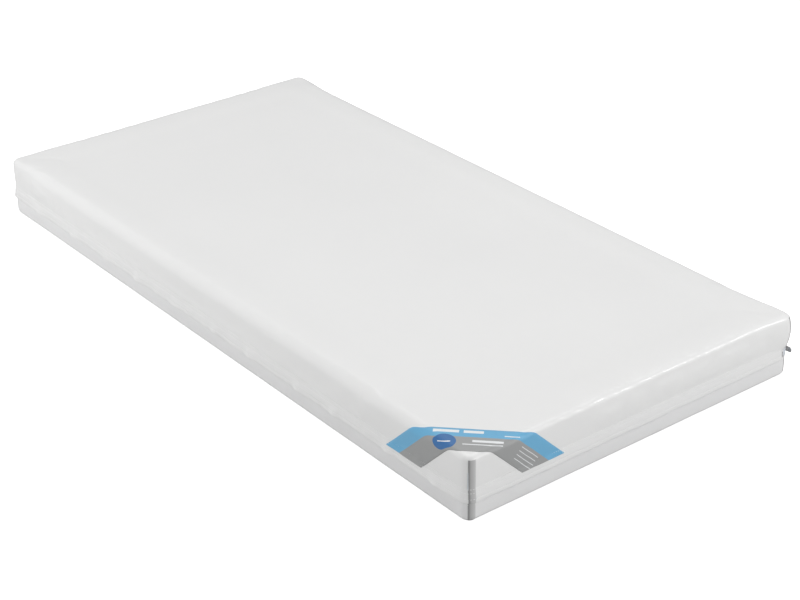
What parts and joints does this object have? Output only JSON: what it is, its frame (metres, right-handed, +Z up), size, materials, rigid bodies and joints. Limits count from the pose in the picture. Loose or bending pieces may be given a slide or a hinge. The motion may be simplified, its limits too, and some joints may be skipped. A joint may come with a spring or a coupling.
{
  "type": "pressure relief mattress",
  "caption": "Cot-size foam mattress: layered pressure relief core in a white waterproof cover with a zip all round, storm flap and corner label band.",
  "frame": {"origin": "middle of the underside, on the cot's base", "axes": "+Z up out of the lying surface, +X along the mattress towards the end with the corner label, -Y towards the long side beside the label, +Y towards the long side that the zip closes on"},
  "size_m": [1.2044, 0.6071, 0.1004],
  "materials": {
    "cover_cloth": "white coated stretch knit, satin",
    "base_cloth": "white coated woven cloth, matt",
    "flap_cloth": "white coated stretch knit, satin, hemmed",
    "seam_tape": "grey welded seam tape, matt",
    "label_print": "printed satin ribbon, sky blue and grey",
    "zip_tape": "white woven polyester",
    "zip_coil": "white nylon monofilament",
    "zip_metal": "nickel plated die casting, worn bright at the edges",
    "foam_firm": "open cell foam, cut face",
    "foam_edge": "open cell foam, cut face",
    "foam_cells": "open cell foam, cut face",
    "foam_visco": "fine open cell visco-elastic foam"
  },
  "bodies": {
    "core_and_base": {"cover_base": "base_cloth", "zip_end_tab": "base_cloth", "corner_tape_lower_left_front": "seam_tape", "corner_tape_lower_left_back": "seam_tape", "corner_tape_lower_right_front": "seam_tape", "corner_tape_lower_right_back": "seam_tape", "zip_tape_lower": "zip_tape", "zip_coil_lower": "zip_coil", "zip_stops_lower": "zip_metal", "foam_base_slab": "foam_firm", "foam_bolster_front": "foam_edge", "foam_bolster_back": "foam_edge", "foam_bolster_left": "foam_edge", "foam_bolster_right": "foam_edge", "foam_cell_insert": "foam_cells", "foam_topper": "foam_visco"},
    "upper_cover": {"cover_top": "cover_cloth", "storm_flap": "flap_cloth", "corner_label": "label_print", "zip_tape_upper": "zip_tape", "zip_coil_upper": "zip_coil", "zip_stops_upper": "zip_metal", "corner_tape_upper_left_front": "seam_tape", "corner_tape_upper_left_back": "seam_tape", "corner_tape_upper_right_front": "seam_tape", "corner_tape_upper_right_back": "seam_tape"},
    "slider": {"slider_body": "zip_metal", "slider_bridge": "zip_metal"},
    "puller": {"puller_tab": "zip_metal"}
  },
  "joints": [
    {"name": "cover_lift", "type": "slide", "parent": "core_and_base", "child": "upper_cover", "axis": [0, 0, 1], "range_m": [0, 0.15]},
    {"name": "slider_travel", "type": "slide", "parent": "core_and_base", "child": "slider", "axis": [-1, 0, 0], "range_m": [0, 1.1565]},
    {"name": "puller_swing", "type": "hinge", "parent": "slider", "child": "puller", "pos_m": [0.577, 0.3032, 0.038], "axis": [0, 0, 1], "range_deg": [0, 175]}
  ]
}
